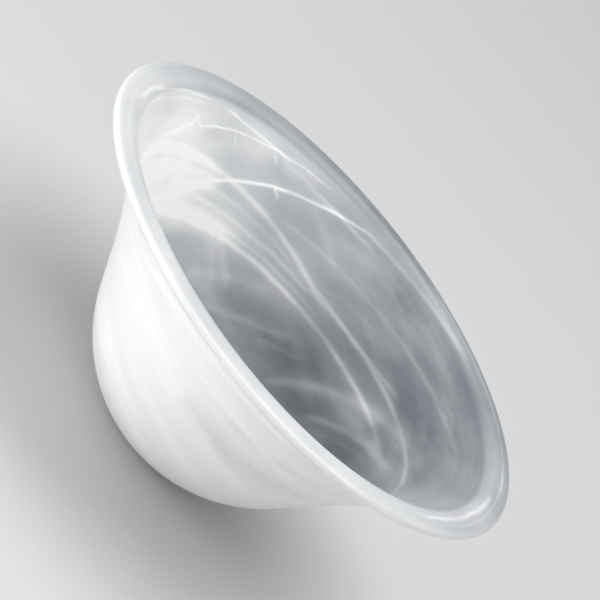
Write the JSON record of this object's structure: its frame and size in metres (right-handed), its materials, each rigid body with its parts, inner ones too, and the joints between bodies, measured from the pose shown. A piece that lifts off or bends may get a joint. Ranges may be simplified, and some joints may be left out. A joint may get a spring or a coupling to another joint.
{
  "type": "glass lamp diffuser",
  "caption": "Bell-shaped swirl-glass lamp diffuser with a turned-out lip and a threaded centre fixing clamped through its base.",
  "frame": {"origin": "centre of the seat hub's flat underside, on the bowl's axis", "axes": "+Z along the bowl's axis, from the hub towards the open mouth; the bowl is the same all the way round"},
  "size_m": [0.3999, 0.4, 0.17],
  "materials": {
    "swirl_glass": "fire-polished milky swirl glass, semi-gloss",
    "hub_brass": "turned, uncoated",
    "nut_brass": "milled, uncoated",
    "zinc_steel": "bright zinc plated",
    "gasket_rubber": "natural silicone, matt",
    "bush_nylon": "natural nylon"
  },
  "bodies": {
    "root": {"glass_shade": "swirl_glass", "seat_hub": "hub_brass", "outer_gasket": "gasket_rubber", "hole_bush": "bush_nylon", "inner_gasket": "gasket_rubber", "clamp_disc": "zinc_steel", "lock_washer": "zinc_steel", "lock_nut": "nut_brass"}
  },
  "joints": []
}
